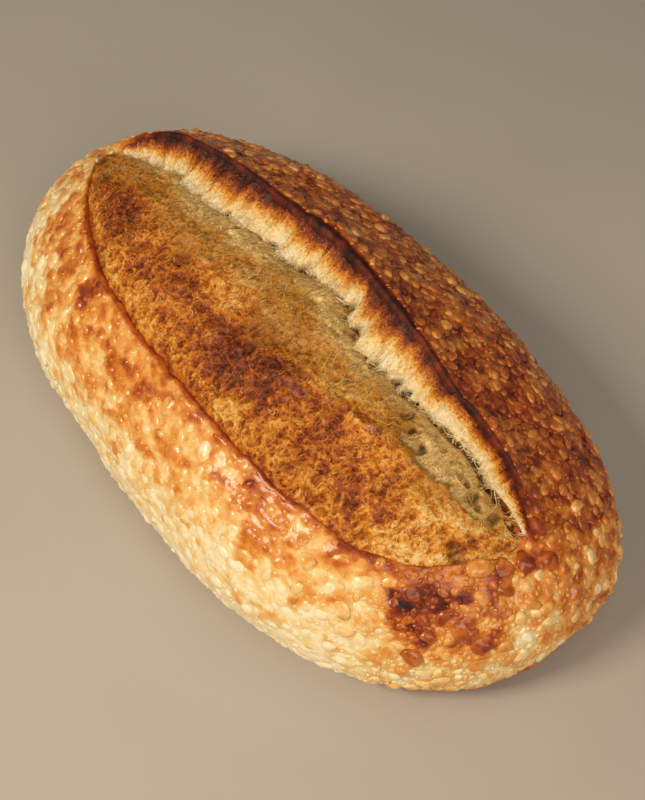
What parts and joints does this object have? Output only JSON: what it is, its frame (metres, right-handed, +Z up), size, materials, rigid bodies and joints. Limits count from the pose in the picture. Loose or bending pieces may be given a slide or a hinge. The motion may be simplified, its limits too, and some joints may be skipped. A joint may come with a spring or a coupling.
{
  "type": "sourdough loaf",
  "caption": "Long oval sourdough loaf with a blistered golden crust, one lengthwise score opened into a wide bloom, a raised ear and a flat underside.",
  "frame": {"origin": "on the resting plane, under the middle of the loaf's box", "axes": "+X along the loaf, +Y towards the side of the ear, +Z up"},
  "size_m": [0.28, 0.1492, 0.0825],
  "materials": {
    "crust": "satin, blistered bread crust"
  },
  "bodies": {
    "root": {"loaf": "crust"}
  },
  "joints": []
}
